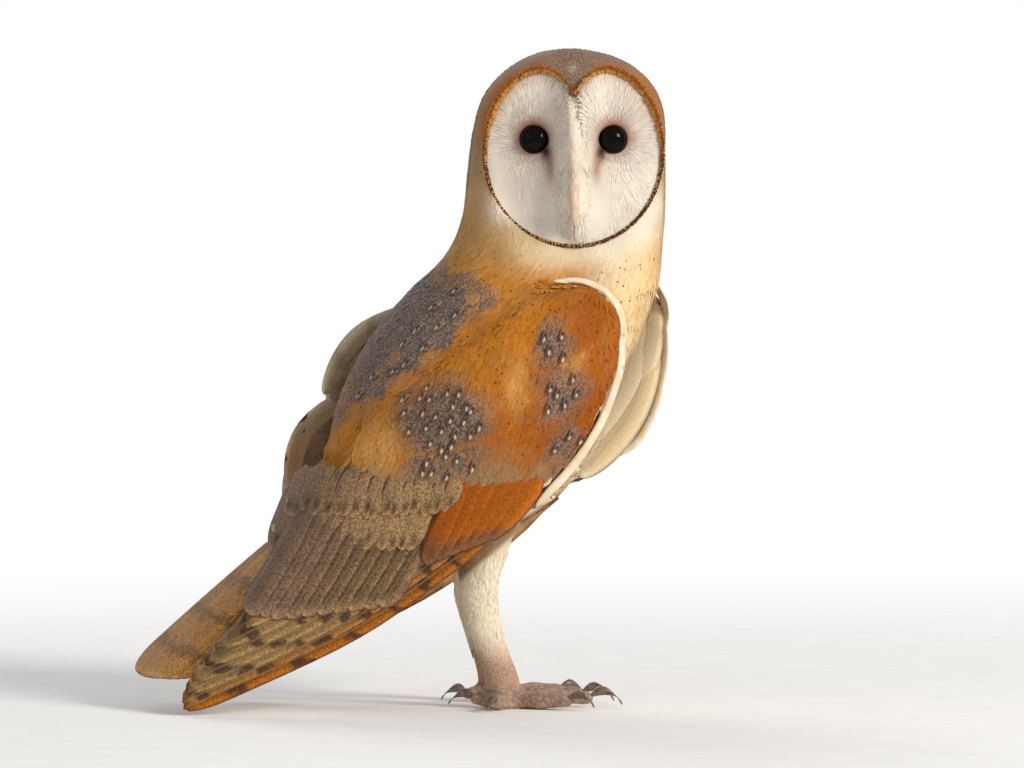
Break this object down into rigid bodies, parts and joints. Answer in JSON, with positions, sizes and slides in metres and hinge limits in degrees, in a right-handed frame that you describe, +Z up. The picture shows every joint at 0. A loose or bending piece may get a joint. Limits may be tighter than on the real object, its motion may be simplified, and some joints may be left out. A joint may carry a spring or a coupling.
{
  "type": "barn owl",
  "caption": "Life-size still model of a standing barn owl: head turned to its side with the face outward, wings folded, tail swung out, legs planted on the floor.",
  "frame": {"origin": "on the floor, under the middle of the right foot's pad", "axes": "+X the way the body faces, +Y towards the owl's left side, +Z up; the face looks along -Y"},
  "size_m": [0.2822, 0.1446, 0.35],
  "materials": {
    "crown_feathers": "matt soft feathers, buff-orange with fine grey grizzling",
    "face_feathers": "matt silky feathers, off-white with a rusty tinge round the eyes",
    "body_feathers": "matt soft feathers, buff to cream with small dark specks; grey mantle",
    "wing_feathers": "matt vaned feathers, orange-buff with grey vermiculated patches and dark bars",
    "tail_feathers": "matt vaned feathers, buff-brown with dark bars",
    "leg_feathers": "short soft off-white feathers thinning to bristles",
    "toe_skin": "granular pinkish-brown skin with paler pads",
    "claw_horn": "smooth dark horn with paler tips",
    "bill_horn": "smooth pinkish ivory horn",
    "eye": "wet black gloss"
  },
  "bodies": {
    "root": {"head": "crown_feathers", "facial_disc": "face_feathers", "bill_upper": "bill_horn", "bill_lower": "bill_horn", "neck": "body_feathers", "trunk": "body_feathers", "tail": "tail_feathers", "eye_right": "eye", "wing_right": "wing_feathers", "thigh_right": "leg_feathers", "tarsus_right": "leg_feathers", "toe_hallux_right": "toe_skin", "claw_hallux_right": "claw_horn", "toe_inner_right": "toe_skin", "claw_inner_right": "claw_horn", "toe_middle_right": "toe_skin", "claw_middle_right": "claw_horn", "toe_outer_right": "toe_skin", "claw_outer_right": "claw_horn", "eye_left": "eye", "wing_left": "wing_feathers", "thigh_left": "leg_feathers", "tarsus_left": "leg_feathers", "toe_hallux_left": "toe_skin", "claw_hallux_left": "claw_horn", "toe_inner_left": "toe_skin", "claw_inner_left": "claw_horn", "toe_middle_left": "toe_skin", "claw_middle_left": "claw_horn", "toe_outer_left": "toe_skin", "claw_outer_left": "claw_horn"}
  },
  "joints": []
}
